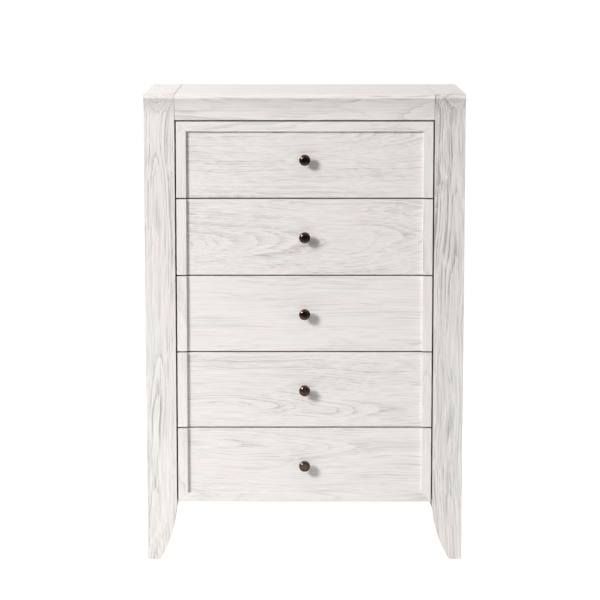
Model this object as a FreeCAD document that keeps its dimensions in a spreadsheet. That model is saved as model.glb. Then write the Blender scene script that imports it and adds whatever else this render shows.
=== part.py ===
import FreeCAD, Part
import Sketcher
import operator
import os

# Tall chest of five drawers. Millimetres, +X to the right, the drawers open towards -Y, +Z up.
# The origin is on the floor, under the middle of the chest's box.

DRAWERS = (1, 2, 3, 4, 5)
SIDES = {"left": -1, "right": 1}

# ---- driving dimensions ------------------------------------------------------------------------

SIZES = {
    # the case as a whole
    "width": 813.0,
    "depth": 457.0,
    "top_height": 1204.0,
    "floor_clearance": 151.5,
    # legs and feet
    "leg_width": 77.0,
    "leg_depth": 56.0,
    "foot_width": 33.5,
    "glide_height": 2.0,
    "glide_radius": 11.0,
    "glide_pin_radius": 2.0,
    "glide_pin_length": 14.0,
    "cut_margin": 10.0,
    # top, its chamfer and the cove below it
    "top_thickness": 24.0,
    "chamfer": 10.0,
    "cove_reach": 14.0,
    "cove_foot": 1146.0,
    "rail_foot": 1138.0,
    "leg_top_flat": 6.0,
    "front_rail_thickness": 22.0,
    # sides and back
    "side_rail_thickness": 22.0,
    "side_top_rail_height": 70.0,
    "side_bottom_rail_height": 60.0,
    "side_panel_thickness": 12.0,
    "side_panel_recess": 7.0,
    "groove_depth": 8.0,
    "back_thickness": 6.0,
    "rear_rail_height": 65.0,
    "rear_rail_thickness": 22.0,
    "bottom_thickness": 17.5,
    "bottom_rise": 0.5,
    "bottom_setback": 1.5,
    # drawer fronts
    "gap_above_drawers": 3.5,
    "gap_between_drawers": 3.0,
    "gap_beside_drawers": 3.5,
    "front_setback": 3.0,
    "strip_width": 25.0,
    "strip_thickness": 7.0,
    "front_thickness": 18.0,
    # drawer boxes
    "box_height": 145.0,
    "box_length": 400.0,
    "box_lift": 24.0,
    "box_wall": 12.0,
    "box_bottom_thickness": 6.0,
    "box_bottom_lift": 10.0,
    "box_groove": 5.0,
    # three-part ball-bearing slides
    "slide_width": 12.7,
    "slide_lift": 84.0,
    "slide_start": 5.0,
    "slide_length": 396.0,
    "slide_wall": 1.5,
    "outer_slide_height": 45.0,
    "outer_slide_reach": 11.0,
    "middle_slide_height": 38.0,
    "middle_slide_inset": 2.5,
    "middle_slide_reach": 8.0,
    "middle_slide_lag": 2.0,
    "middle_slide_short": 16.0,
    "inner_slide_height": 31.0,
    "inner_slide_reach": 7.7,
    # knobs
    "knob_radius": 14.3,
    "knob_projection": 24.0,
    "knob_base_radius": 9.0,
    "knob_base_height": 2.0,
    "knob_neck_radius": 5.5,
    "knob_head_height": 9.5,
    "knob_rim": 1.5,
    "knob_underside": 3.0,
    "knob_neck_flare": 2.5,
    "knob_foot_flare": 2.0,
    "knob_thread_depth": 12.0,
    # screws
    "knob_screw_radius": 2.0,
    "front_screw_radius": 1.8,
    "front_screw_bite": 11.0,
    "front_screw_inset": 60.0,
    "front_screw_rise": 35.0,
    "pan_head_radius": 4.0,
    "pan_head_height": 2.4,
    "slide_screw_radius": 1.7,
    "slide_screw_length": 16.0,
    "slide_screw_head_radius": 3.4,
    "slide_screw_head_height": 0.8,
    "slide_screw_front": 8.0,
    "slide_screw_rear": 376.0,
}

doc = FreeCAD.newDocument("TallChest")
sheet = doc.addObject("Spreadsheet::Sheet", "Sizes")
for row, (alias, number) in enumerate(SIZES.items(), start=1):
    sheet.set(f"A{row}", alias)
    sheet.set(f"B{row}", str(number))
    sheet.setAlias(f"B{row}", alias)
doc.recompute()


# ---- sizes that carry their own formula --------------------------------------------------------

OPERATIONS = {"+": operator.add, "-": operator.sub, "*": operator.mul, "/": operator.truediv}


class Size:
    """A length: its number starts a sketch, and its formula ties the document to the sheet."""

    def __init__(self, number, formula):
        self.number = number
        self.formula = formula

    def __add__(self, other):
        return combine(self, "+", other)

    def __radd__(self, other):
        return combine(other, "+", self)

    def __sub__(self, other):
        return combine(self, "-", other)

    def __rsub__(self, other):
        return combine(other, "-", self)

    def __mul__(self, other):
        return combine(self, "*", other)

    def __rmul__(self, other):
        return combine(other, "*", self)

    def __truediv__(self, other):
        return combine(self, "/", other)


def as_size(value):
    return value if isinstance(value, Size) else Size(value, str(value))


def combine(left, sign, right):
    left, right = as_size(left), as_size(right)
    number = OPERATIONS[sign](left.number, right.number)
    return Size(number, f"({left.formula} {sign} {right.formula})")


def size(alias):
    return Size(SIZES[alias], f"Sizes.{alias}")


# ---- building blocks ---------------------------------------------------------------------------

# A cylinder is made along Z, and these turn it to lie along another axis.
ROD_TURNS = {
    "x": FreeCAD.Rotation(FreeCAD.Vector(0, 1, 0), 90),
    "y": FreeCAD.Rotation(FreeCAD.Vector(1, 0, 0), -90),
    "z": FreeCAD.Rotation(),
}


def bind(item, **places):
    """Tie properties of a document object to formulas; __ in a keyword stands for a dot."""
    for place, value in places.items():
        item.setExpression(place.replace("__", "."), as_size(value).formula)


def box(name, x, y, z):
    """A board between the (low, high) limits given along each axis."""
    item = doc.addObject("Part::Box", name)
    bind(item, Length=x[1] - x[0], Width=y[1] - y[0], Height=z[1] - z[0])
    bind(item, Placement__Base__x=x[0], Placement__Base__y=y[0], Placement__Base__z=z[0])
    return item


def rod(name, radius, **centre):
    """A cylinder along whichever of x, y and z is given as a (low, high) pair."""
    item = doc.addObject("Part::Cylinder", name)
    along = next(axis for axis, value in centre.items() if isinstance(value, tuple))
    low, high = centre[along]
    centre[along] = low
    item.Placement = FreeCAD.Placement(FreeCAD.Vector(), ROD_TURNS[along])
    bind(item, Radius=radius, Height=high - low)
    bind(item, **{f"Placement__Base__{axis}": value for axis, value in centre.items()})
    return item


def fused(name, pieces):
    """One solid from pieces that overlap or touch."""
    item = doc.addObject("Part::MultiFuse", name)
    item.Shapes = pieces
    return item


def group(name, pieces):
    """Pieces kept as separate solids in one node."""
    item = doc.addObject("Part::Compound", name)
    item.Links = pieces
    return item


def fitted(name, blank, parts):
    """The blank with room cut in it for the parts that are let into it."""
    item = doc.addObject("Part::Cut", name)
    item.Base = blank
    item.Tool = parts[0] if len(parts) == 1 else fused(f"{name}_room", parts)
    return item


def origin_plane(body, role):
    return next(plane for plane in body.Origin.OriginFeatures if plane.Role == role)


def outline(body, role, name, corners, arc_centres=None, offset=0, lift=0):
    """A closed outline on one of the body's origin planes.

    corners are (across, up) sizes. arc_centres maps the number of a side to the height of its
    centre, and that side is then the short arc from its corner to the next one.
    """
    sketch = body.newObject("Sketcher::SketchObject", name)
    sketch.AttachmentSupport = [(origin_plane(body, role), "")]
    sketch.MapMode = "FlatFace"
    bind(sketch, AttachmentOffset__Base__z=offset, AttachmentOffset__Base__y=lift)
    points = [FreeCAD.Vector(as_size(a).number, as_size(u).number, 0) for a, u in corners]
    arc_centres = arc_centres or {}
    joins = []
    for side, start in enumerate(points):
        end = points[(side + 1) % len(points)]
        forward = True
        if side in arc_centres:
            curve, forward = short_arc(start, end, arc_centres[side].number)
        else:
            curve = Part.LineSegment(start, end)
        sketch.addGeometry(curve, False)
        joins.append(((side, 1), (side, 2)) if forward else ((side, 2), (side, 1)))
    for side, (_, end) in enumerate(joins):
        next_start = joins[(side + 1) % len(joins)][0]
        sketch.addConstraint(Sketcher.Constraint("Coincident", *end, *next_start))
    for (across, up), (start, _) in zip(corners, joins):
        dimension(sketch, "DistanceX", start, across)
        dimension(sketch, "DistanceY", start, up)
    for side, height in arc_centres.items():
        dimension(sketch, "DistanceY", (side, 3), height)
    return sketch


def short_arc(start, end, centre_height):
    """The arc under half a turn between two points, and whether it runs anticlockwise."""
    middle, chord = (start + end) / 2, end - start
    across = middle.x + (middle.y - centre_height) * chord.y / chord.x
    centre = FreeCAD.Vector(across, centre_height, 0)
    circle = Part.Circle(centre, FreeCAD.Vector(0, 0, 1), (start - centre).Length)
    forward = (start - centre).cross(end - centre).z > 0
    first, last = (start, end) if forward else (end, start)
    return Part.ArcOfCircle(circle, circle.parameter(first), circle.parameter(last)), forward


def dimension(sketch, kind, place, value):
    """Hold a point of the sketch at a distance from its origin."""
    value = as_size(value)
    number = sketch.addConstraint(Sketcher.Constraint(kind, -1, 1, *place, value.number))
    sketch.setExpression(f"Constraints[{number}]", value.formula)


def padded(name, role, corners, offset, length, arc_centres=None):
    """A body padded from an outline that stands at offset along the plane's normal."""
    body = doc.addObject("PartDesign::Body", name)
    sketch = outline(body, role, f"{name}_outline", corners, arc_centres, offset)
    pad = body.newObject("PartDesign::Pad", f"{name}_pad")
    pad.Profile = sketch
    bind(pad, Length=length)
    return body


# ---- levels and planes shared by the pieces ----------------------------------------------------

half_width = size("width") / 2
half_opening = half_width - size("leg_width")
lip_front = 0 - size("depth") / 2
leg_front = lip_front + size("cove_reach")
back_face = size("depth") / 2
back_front = back_face - size("back_thickness")
top_height = size("top_height")
under_top = top_height - size("top_thickness")
chamfer_foot = top_height - size("chamfer")
chamfer_back = lip_front + size("chamfer")
cap_front = chamfer_back + size("leg_top_flat")
front_leg_back = leg_front + size("leg_depth")
rear_leg_front = back_face - size("leg_depth")
case_bottom = size("floor_clearance") + size("bottom_rise")
bottom_top = case_bottom + size("bottom_thickness")

strip_front = leg_front + size("front_setback")
panel_front = strip_front + size("strip_thickness")
panel_back = panel_front + size("front_thickness")
half_front = half_opening - size("gap_beside_drawers")
front_stack = size("rail_foot") - size("gap_above_drawers") - size("floor_clearance")
front_height = (front_stack - size("gap_between_drawers") * 4) / 5
front_pitch = front_height + size("gap_between_drawers")

half_box = half_opening - size("slide_width")
box_inner = half_box - size("box_wall")
box_back = panel_back + size("box_length")
slide_front = panel_back + size("slide_start")
slide_back = slide_front + size("slide_length")


def drawer_base(number):
    """Height of the lower edge of a drawer's front; drawer 1 is the top one."""
    return size("floor_clearance") + front_pitch * (len(DRAWERS) - number)


def span(side, inner, outer):
    """(low, high) limits along X of a piece on the left or the right of the chest."""
    return (inner, outer) if SIDES[side] > 0 else (0 - outer, 0 - inner)


def across(side, distance):
    return distance if SIDES[side] > 0 else 0 - distance


# ---- drawer slides and the screws of the case --------------------------------------------------


def channel(name, side, web, tip, height, wall, y, middle):
    """A steel channel along Y with its web at one end of its width and its lips at the other."""
    half = height / 2
    inner, outer = (tip, web) if web.number > tip.number else (web, tip)
    whole = box(f"{name}_stock", span(side, inner, outer), y, (middle - half, middle + half))
    hollow = (tip, web - wall) if web.number > tip.number else (web + wall, tip)
    room = box(
        f"{name}_hollow",
        span(side, *hollow),
        y,
        (middle - half + wall, middle + half - wall),
    )
    return fitted(name, whole, [room])


def slides_of(number):
    """The outer, middle and inner slide members beside one drawer, left then right."""
    wall = size("slide_wall")
    middle = drawer_base(number) + size("slide_lift")
    middle_web = half_opening - size("middle_slide_inset")
    full = (slide_front, slide_back)
    short = (slide_front + size("middle_slide_lag"), slide_back - size("middle_slide_short"))
    outer, intermediate, inner = [], [], []
    for side in SIDES:
        name = f"slide_{number}_{side}"
        outer.append(channel(
            f"{name}_outer", side, half_opening, half_opening - size("outer_slide_reach"),
            size("outer_slide_height"), wall, full, middle,
        ))
        intermediate.append(channel(
            f"{name}_middle", side, middle_web, middle_web - size("middle_slide_reach"),
            size("middle_slide_height"), wall, short, middle,
        ))
        inner.append(channel(
            f"{name}_inner", side, half_box, half_box + size("inner_slide_reach"),
            size("inner_slide_height"), wall, full, middle,
        ))
    return outer, intermediate, inner


def slide_screw(name, side, y, z):
    """A low-headed screw through an outer slide member's web into a leg."""
    seat = half_opening - size("slide_wall")
    point = seat + size("slide_screw_length")
    shank = rod(f"{name}_shank", size("slide_screw_radius"), x=span(side, seat, point), y=y, z=z)
    head_tip = seat - size("slide_screw_head_height")
    head = rod(f"{name}_head", size("slide_screw_head_radius"), x=span(side, head_tip, seat), y=y, z=z)
    return fused(name, [shank, head])


def case_screws():
    """Slide screws, listed by the leg that holds them."""
    held = {}
    for side in SIDES:
        for end in ("front", "rear"):
            y = slide_front + size(f"slide_screw_{end}")
            held[side, end] = [
                slide_screw(f"slide_screw_{side}_{end}_{number}", side, y,
                            drawer_base(number) + size("slide_lift"))
                for number in DRAWERS
            ]
    return held


# ---- case --------------------------------------------------------------------------------------


def floor_glide(side, end):
    """A nylon disc under the middle of a foot, with a pin up into it."""
    x = across(side, half_width - size("foot_width") / 2)
    depth = size("leg_depth") / 2
    y = leg_front + depth if end == "front" else back_face - depth
    name = f"glide_{side}_{end}"
    disc = rod(f"{name}_disc", size("glide_radius"), x=x, y=y, z=(as_size(0), size("glide_height")))
    pin_top = size("glide_height") + size("glide_pin_length")
    pin = rod(f"{name}_pin", size("glide_pin_radius"), x=x, y=y, z=(size("glide_height"), pin_top))
    return fused(name, [disc, pin])


def leg_blank(side, end):
    """A full-height leg, its inner edge swept out to a narrow foot by one arc."""
    name = f"{side}_{end}_leg_blank"
    sole = size("glide_height")
    inner_edge = across(side, half_opening)
    foot_edge = across(side, half_width - size("foot_width"))
    if end == "front":
        corners = [
            (front_leg_back, sole),
            (leg_front, sole),
            (leg_front, size("cove_foot")),
            (lip_front, chamfer_foot),
            (chamfer_back, top_height),
            (cap_front, top_height),
            (cap_front, under_top),
            (front_leg_back, under_top),
        ]
        arcs = {2: size("cove_foot")}
    else:
        corners = [
            (rear_leg_front, sole),
            (rear_leg_front, under_top),
            (back_face, under_top),
            (back_face, sole),
        ]
        arcs = None
    start = span(side, half_opening, half_width)[0]
    body = padded(name, "YZ_Plane", corners, start, size("leg_width"), arcs)
    margin = size("cut_margin")
    clear_of_leg = across(side, half_opening - margin)
    cut_corners = [
        (inner_edge, size("floor_clearance")),
        (foot_edge, sole),
        (foot_edge, sole - margin),
        (clear_of_leg, sole - margin),
        (clear_of_leg, size("floor_clearance")),
    ]
    sweep_arc = {0: size("floor_clearance")}
    front = margin - lip_front
    sketch = outline(body, "XZ_Plane", f"{name}_sweep", cut_corners, sweep_arc, front)
    pocket = body.newObject("PartDesign::Pocket", f"{name}_foot")
    pocket.Profile = sketch
    pocket.Type = "ThroughAll"
    return body


def side_panels():
    """Flat panels let into grooves in the legs and the side rails."""
    face = half_width - size("side_panel_recess")
    groove = size("groove_depth")
    return {
        side: box(
            f"{side}_side_panel",
            span(side, face - size("side_panel_thickness"), face),
            (front_leg_back - groove, rear_leg_front + groove),
            (case_bottom + size("side_bottom_rail_height") - groove,
             under_top - size("side_top_rail_height") + groove),
        )
        for side in SIDES
    }


def side_rails(panels):
    """Top and bottom rails between the legs, grooved for the side panels."""
    y = (front_leg_back, rear_leg_front)
    levels = {
        "top": (under_top - size("side_top_rail_height"), under_top),
        "bottom": (case_bottom, case_bottom + size("side_bottom_rail_height")),
    }
    rails = [
        box(
            f"{side}_{level}_rail",
            span(side, half_width - size("side_rail_thickness"), half_width),
            y,
            z,
        )
        for side in SIDES
        for level, z in levels.items()
    ]
    return fitted("side_rails", group("side_rails_blank", rails), list(panels.values()))


def side_top_caps():
    caps = [
        box(
            f"{side}_top_cap",
            span(side, half_opening, half_width),
            (cap_front, back_face),
            (under_top, top_height),
        )
        for side in SIDES
    ]
    return group("side_top_caps", caps)


def front_top_rail():
    """A coved and chamfered rail with a rabbet that holds the top panel's front edge."""
    rail_back = leg_front + size("front_rail_thickness")
    corners = [
        (rail_back, size("rail_foot")),
        (leg_front, size("rail_foot")),
        (leg_front, size("cove_foot")),
        (lip_front, chamfer_foot),
        (chamfer_back, top_height),
        (chamfer_back, under_top),
        (rail_back, under_top),
    ]
    arcs = {2: size("cove_foot")}
    return padded("front_top_rail", "YZ_Plane", corners, 0 - half_opening, half_opening * 2, arcs)


def make_case(outer_slides):
    """Everything that stays still, and the nodes it makes."""
    opening = (0 - half_opening, half_opening)
    groove = size("groove_depth")
    screws = case_screws()
    panels = side_panels()
    glides = {(side, end): floor_glide(side, end) for side in SIDES for end in ("front", "rear")}
    back_panel = box(
        "back_panel",
        (0 - half_opening - groove, half_opening + groove),
        (back_front, back_face),
        (case_bottom, under_top),
    )
    legs = {}
    for (side, end), held_screws in screws.items():
        let_in = [panels[side], glides[side, end]] + held_screws
        if end == "rear":
            let_in.append(back_panel)
        legs[side, end] = fitted(f"{side}_{end}_leg", leg_blank(side, end), let_in)
    rail_thickness = half_width - size("side_rail_thickness")
    bottom_blank = box(
        "bottom_panel_blank",
        (0 - rail_thickness, rail_thickness),
        (panel_back + size("bottom_setback"), back_front),
        (case_bottom, bottom_top),
    )
    every_screw = [screw for held in screws.values() for screw in held]
    return [
        *legs.values(),
        side_rails(panels),
        group("side_panels", list(panels.values())),
        side_top_caps(),
        front_top_rail(),
        box("top_panel", opening, (chamfer_back, back_face), (under_top, top_height)),
        box(
            "rear_top_rail", opening,
            (back_front - size("rear_rail_thickness"), back_front),
            (under_top - size("rear_rail_height"), under_top),
        ),
        back_panel,
        fitted("bottom_panel", bottom_blank, list(legs.values())),
        fitted("case_slide_members", group("case_slide_blanks", outer_slides), every_screw),
        group("case_slide_screws", every_screw),
        group("floor_glides", list(glides.values())),
    ]


# ---- drawers -----------------------------------------------------------------------------------


def drawer_strips(number):
    """The strips applied to a drawer front, mitred where a stile meets a rail."""
    low = drawer_base(number)
    high = low + front_height
    strip = size("strip_width")
    inner = half_front - strip
    low_mitre = strip if number == DRAWERS[-1] else 0
    high_mitre = strip if number == DRAWERS[0] else 0
    outlines = {
        f"{side}_stile": [
            (across(side, half_front), low),
            (across(side, inner), low + low_mitre),
            (across(side, inner), high - high_mitre),
            (across(side, half_front), high),
        ]
        for side in SIDES
    }
    if number == DRAWERS[0]:
        outlines["rail"] = rail_outline(inner, high, high - strip)
    if number == DRAWERS[-1]:
        outlines["rail"] = rail_outline(inner, low, low + strip)
    strips = [
        padded(f"drawer_{number}_{name}", "XZ_Plane", corners, 0 - panel_front,
               size("strip_thickness"))
        for name, corners in outlines.items()
    ]
    return group(f"drawer_{number}_front_frame", strips)


def rail_outline(inner, outer_edge, inner_edge):
    return [
        (0 - half_front, outer_edge),
        (half_front, outer_edge),
        (inner, inner_edge),
        (0 - inner, inner_edge),
    ]


def knob(number):
    """A turned metal knob on a short neck, bored for its screw."""
    name = f"drawer_{number}_knob"
    tip = panel_front - size("knob_projection")
    shoulder = tip + size("knob_head_height")
    base = panel_front - size("knob_base_height")
    bore_end = panel_front - size("knob_thread_depth")
    radius = size("knob_radius")
    rim, underside = size("knob_rim"), size("knob_underside")
    corners = [
        (tip, as_size(0)),
        (tip, radius - rim),
        (tip + rim, radius),
        (shoulder - underside, radius),
        (shoulder, radius - underside),
        (shoulder + size("knob_neck_flare"), size("knob_neck_radius")),
        (base - size("knob_foot_flare"), size("knob_neck_radius")),
        (base, size("knob_base_radius")),
        (panel_front, size("knob_base_radius")),
        (panel_front, size("knob_screw_radius")),
        (bore_end, size("knob_screw_radius")),
        (bore_end, as_size(0)),
    ]
    body = doc.addObject("PartDesign::Body", name)
    middle = drawer_base(number) + front_height / 2
    sketch = outline(body, "YZ_Plane", f"{name}_outline", corners, lift=middle)
    turned = body.newObject("PartDesign::Revolution", f"{name}_turned")
    turned.Profile = sketch
    turned.ReferenceAxis = (sketch, ["H_Axis"])
    turned.Angle = 360
    return body


def pan_head_screw(name, radius, x, z, front, seat):
    """A screw that points forward from its seat, with a pan head behind."""
    head_end = seat + size("pan_head_height")
    shank = rod(f"{name}_shank", radius, x=x, y=(front, seat), z=z)
    head = rod(f"{name}_head", size("pan_head_radius"), x=x, y=(seat, head_end), z=z)
    return fused(name, [shank, head])


def drawer_screws(number, box_base):
    """The knob's screw and four screws that hold the front to the box."""
    seat = panel_back + size("box_wall")
    middle = drawer_base(number) + front_height / 2
    screws = [pan_head_screw(
        f"drawer_{number}_knob_screw", size("knob_screw_radius"), as_size(0), middle,
        panel_front - size("knob_thread_depth"), seat,
    )]
    reach = panel_back - size("front_screw_bite")
    rise = size("front_screw_rise")
    levels = {"low": box_base + rise, "high": box_base + size("box_height") - rise}
    for side in SIDES:
        x = across(side, box_inner - size("front_screw_inset"))
        for level, z in levels.items():
            name = f"drawer_{number}_{side}_{level}_screw"
            screws.append(pan_head_screw(name, size("front_screw_radius"), x, z, reach, seat))
    return screws


def make_drawer(number, middle_slides, inner_slides):
    """The nodes of one drawer; its middle slide members move at half its speed."""
    name = f"drawer_{number}"
    low = drawer_base(number)
    box_base = low + size("box_lift")
    box_z = (box_base, box_base + size("box_height"))
    wall = size("box_wall")
    groove = size("box_groove")
    bottom_low = box_base + size("box_bottom_lift")
    screws = drawer_screws(number, box_base)
    bottom = box(
        f"{name}_bottom",
        (0 - box_inner - groove, box_inner + groove),
        (panel_back + wall - groove, box_back - wall + groove),
        (bottom_low, bottom_low + size("box_bottom_thickness")),
    )
    sides = group(f"{name}_sides_blank", [
        box(f"{name}_{side}_side", span(side, box_inner, half_box), (panel_back, box_back), box_z)
        for side in SIDES
    ])
    ends = group(f"{name}_ends_blank", [
        box(f"{name}_sub_front", (0 - box_inner, box_inner), (panel_back, panel_back + wall), box_z),
        box(f"{name}_box_back", (0 - box_inner, box_inner), (box_back - wall, box_back), box_z),
    ])
    front_blank = box(
        f"{name}_front_blank",
        (0 - half_front, half_front),
        (panel_front, panel_back),
        (low, low + front_height),
    )
    return [
        fitted(f"{name}_front_panel", front_blank, screws),
        drawer_strips(number),
        knob(number),
        fitted(f"{name}_box_sides", sides, [bottom]),
        fitted(f"{name}_box_ends", ends, [bottom] + screws),
        bottom,
        group(f"{name}_screws", screws),
        group(f"{name}_slide_members", inner_slides),
        group(f"{name}_middle_members", middle_slides),
    ]


# ---- assembly, checks and files ----------------------------------------------------------------

outer_slides = []
nodes = []
for drawer in DRAWERS:
    outer, middle, inner = slides_of(drawer)
    outer_slides += outer
    nodes += make_drawer(drawer, middle, inner)
nodes += make_case(outer_slides)
doc.recompute()

for item in doc.Objects:
    if "Invalid" in item.State or "Error" in item.State:
        raise RuntimeError(f"{item.Label} did not compute: {item.State}")

for item in doc.Objects:
    if item.TypeId != "PartDesign::Pocket":
        continue
    removed = item.BaseFeature.Shape.Volume - item.Shape.Volume
    if removed <= 0:
        raise RuntimeError(f"{item.Label} cut nothing away")

os.makedirs("parts", exist_ok=True)
for node in nodes:
    if node.Shape.isNull() or not node.Shape.isValid():
        raise RuntimeError(f"{node.Label} has no valid shape")
    node.Shape.exportStep(f"parts/{node.Label}.step")
print(f"{len(nodes)} nodes written")
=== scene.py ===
import math
import random

import bmesh
import bpy
from mathutils import Matrix, Vector
from mathutils.geometry import interpolate_bezier


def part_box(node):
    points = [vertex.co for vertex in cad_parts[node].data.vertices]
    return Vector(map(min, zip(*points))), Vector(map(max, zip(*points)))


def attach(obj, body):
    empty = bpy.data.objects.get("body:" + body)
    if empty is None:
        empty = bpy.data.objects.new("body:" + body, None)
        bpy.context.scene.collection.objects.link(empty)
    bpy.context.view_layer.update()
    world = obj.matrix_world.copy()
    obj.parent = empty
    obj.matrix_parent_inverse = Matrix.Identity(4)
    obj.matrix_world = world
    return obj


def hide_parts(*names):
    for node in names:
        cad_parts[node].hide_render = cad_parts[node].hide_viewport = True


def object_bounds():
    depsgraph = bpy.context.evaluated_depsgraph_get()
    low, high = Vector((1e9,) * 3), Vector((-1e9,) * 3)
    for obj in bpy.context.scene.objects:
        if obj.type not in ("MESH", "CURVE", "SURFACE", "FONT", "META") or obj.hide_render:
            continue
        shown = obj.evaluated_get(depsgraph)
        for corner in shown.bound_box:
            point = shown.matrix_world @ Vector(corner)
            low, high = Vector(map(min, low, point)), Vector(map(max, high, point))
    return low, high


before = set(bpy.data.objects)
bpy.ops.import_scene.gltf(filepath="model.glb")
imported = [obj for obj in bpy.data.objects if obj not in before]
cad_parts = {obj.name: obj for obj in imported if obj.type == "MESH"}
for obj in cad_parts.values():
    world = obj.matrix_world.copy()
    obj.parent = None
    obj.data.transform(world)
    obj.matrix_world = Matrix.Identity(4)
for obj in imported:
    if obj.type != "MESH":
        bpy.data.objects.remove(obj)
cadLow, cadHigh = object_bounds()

drawerNumbers = (1, 2, 3, 4, 5)
axisNumber = {"x": 0, "y": 1, "z": 2}
print("frame loaded:", len(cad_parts), "nodes")


# A node's inputs may be plain values or other nodes' sockets.
def addNode(tree, kind, inputs=None, **settings):
    made = tree.nodes.new(kind)
    for key, value in settings.items():
        setattr(made, key, value)
    for name, value in (inputs or {}).items():
        plug(tree, made.inputs[name], value)
    return made


def plug(tree, socket, value):
    if isinstance(value, bpy.types.NodeSocket):
        tree.links.new(value, socket)
    else:
        socket.default_value = value


def calc(tree, operation, *values, clamp=False):
    made = addNode(tree, "ShaderNodeMath", operation=operation, use_clamp=clamp)
    for socket, value in zip(made.inputs, values):
        plug(tree, socket, value)
    return made.outputs[0]


def scaled(tree, vector, factors):
    made = addNode(tree, "ShaderNodeVectorMath", {0: vector, 1: factors}, operation="MULTIPLY")
    return made.outputs[0]


def noise(tree, vector, detail=2.0, roughness=0.5):
    sockets = {"Vector": vector, "Scale": 1.0, "Detail": detail, "Roughness": roughness}
    return addNode(tree, "ShaderNodeTexNoise", sockets).outputs[0]


# Smooth step from low to high, giving 0 to 1 or the limits given.
def step(tree, value, low, high, start=0.0, end=1.0):
    made = addNode(tree, "ShaderNodeMapRange", interpolation_type="SMOOTHSTEP")
    labels = ("Value", "From Min", "From Max", "To Min", "To Max")
    for label, number in zip(labels, (value, low, high, start, end)):
        plug(tree, made.inputs[label], number)
    return made.outputs[0]


def blendColor(tree, factor, first, second):
    made = addNode(tree, "ShaderNodeMix", data_type="RGBA", blend_type="MIX")
    for number, value in zip((0, 6, 7), (factor, first, second)):
        plug(tree, made.inputs[number], value)
    return made.outputs[2]


def newGroup(name, kind, inputs, outputs):
    tree = bpy.data.node_groups.new(name, kind)
    for direction, sockets in (("INPUT", inputs), ("OUTPUT", outputs)):
        for label, (socketType, *default) in sockets.items():
            socket = tree.interface.new_socket(label, in_out=direction, socket_type=socketType)
            if default:
                socket.default_value = default[0]
    return tree, tree.nodes.new("NodeGroupInput").outputs, tree.nodes.new("NodeGroupOutput").inputs


floatSocket, vectorSocket = "NodeSocketFloat", "NodeSocketVector"


# Each layer of noise: its stretch along the grain, detail and roughness, and where it starts and is full.
grainLayers = {
    "Patches": {"stretch": (3.2, 18, 18), "detail": 2, "roughness": 0.55, "edges": (0.38, 0.62)},
    "Pores": {"stretch": (28, 640, 640), "detail": 1, "roughness": 0.5, "edges": (0.52, 0.68)},
    "Brushing": {"stretch": (7, 330, 330), "detail": 3, "roughness": 0.62, "edges": (0.36, 0.66)},
}
grainSwirls = {
    "Wander": {"stretch": (2.6, 7, 7), "detail": 1.5},
    "Ripple": {"stretch": (13, 55, 55), "detail": 2},
}
ringLook = {"unevenness": 2.2, "change": 0.7, "opening": 0.1, "fading": 2.2}


# Growth rings round a pith that runs along X, in metres, with the pores and the brushing along them.
def makeWoodGrain():
    inputs = {
        "Vector": (vectorSocket,),
        "Ring Width": (floatSocket, 0.005),
        "Wander": (floatSocket, 0.06),
        "Ripple": (floatSocket, 0.006),
    }
    outputs = {name: (floatSocket,) for name in ("Rings", "Patches", "Pores", "Brushing")}
    tree, given, result = newGroup("woodGrain", "ShaderNodeTree", inputs, outputs)
    place = given["Vector"]
    bent = place
    for label, swirl in grainSwirls.items():
        sockets = {"Vector": scaled(tree, place, swirl["stretch"]), "Scale": 1, "Detail": swirl["detail"]}
        turning = addNode(tree, "ShaderNodeTexNoise", sockets).outputs[1]
        centred = addNode(tree, "ShaderNodeVectorMath", {0: turning, 1: (0.5,) * 3}, operation="SUBTRACT")
        sockets = {0: centred.outputs[0], "Scale": given[label]}
        sized = addNode(tree, "ShaderNodeVectorMath", sockets, operation="SCALE")
        bent = addNode(tree, "ShaderNodeVectorMath", {0: bent, 1: sized.outputs[0]}).outputs[0]
    crossways = scaled(tree, bent, (0, 1, 1))
    radius = addNode(tree, "ShaderNodeVectorMath", {0: crossways}, operation="LENGTH").outputs["Value"]
    count = calc(tree, "DIVIDE", radius, given["Ring Width"])
    sockets = {"W": count, "Scale": ringLook["change"], "Detail": 1}
    years = addNode(tree, "ShaderNodeTexNoise", sockets, noise_dimensions="1D")
    count = calc(tree, "ADD", count, calc(tree, "MULTIPLY", years.outputs[0], ringLook["unevenness"]))
    ring = calc(tree, "FRACT", count)
    # each ring starts with a sudden dark band of open pores, and fades
    opening = step(tree, ring, 0, ringLook["opening"])
    fading = calc(tree, "POWER", calc(tree, "SUBTRACT", 1, ring), ringLook["fading"])
    plug(tree, result["Rings"], calc(tree, "MULTIPLY", opening, fading))
    for label, layer in grainLayers.items():
        source = place if label == "Patches" else bent   # the patches don't follow the rings
        spots = noise(tree, scaled(tree, source, layer["stretch"]), layer["detail"], layer["roughness"])
        plug(tree, result[label], step(tree, spots, *layer["edges"]))
    return tree


woodGrain = makeWoodGrain()


def newMaterial(name, **shader):
    material = bpy.data.materials.new(name)
    material.use_nodes = True
    tree = material.node_tree
    principled = tree.nodes["Principled BSDF"]
    for label, value in shader.items():
        principled.inputs[label].default_value = value
    return material, tree, principled.inputs


def grainSource(tree):
    return addNode(tree, "ShaderNodeAttribute", attribute_name="grain").outputs["Vector"]


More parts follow.
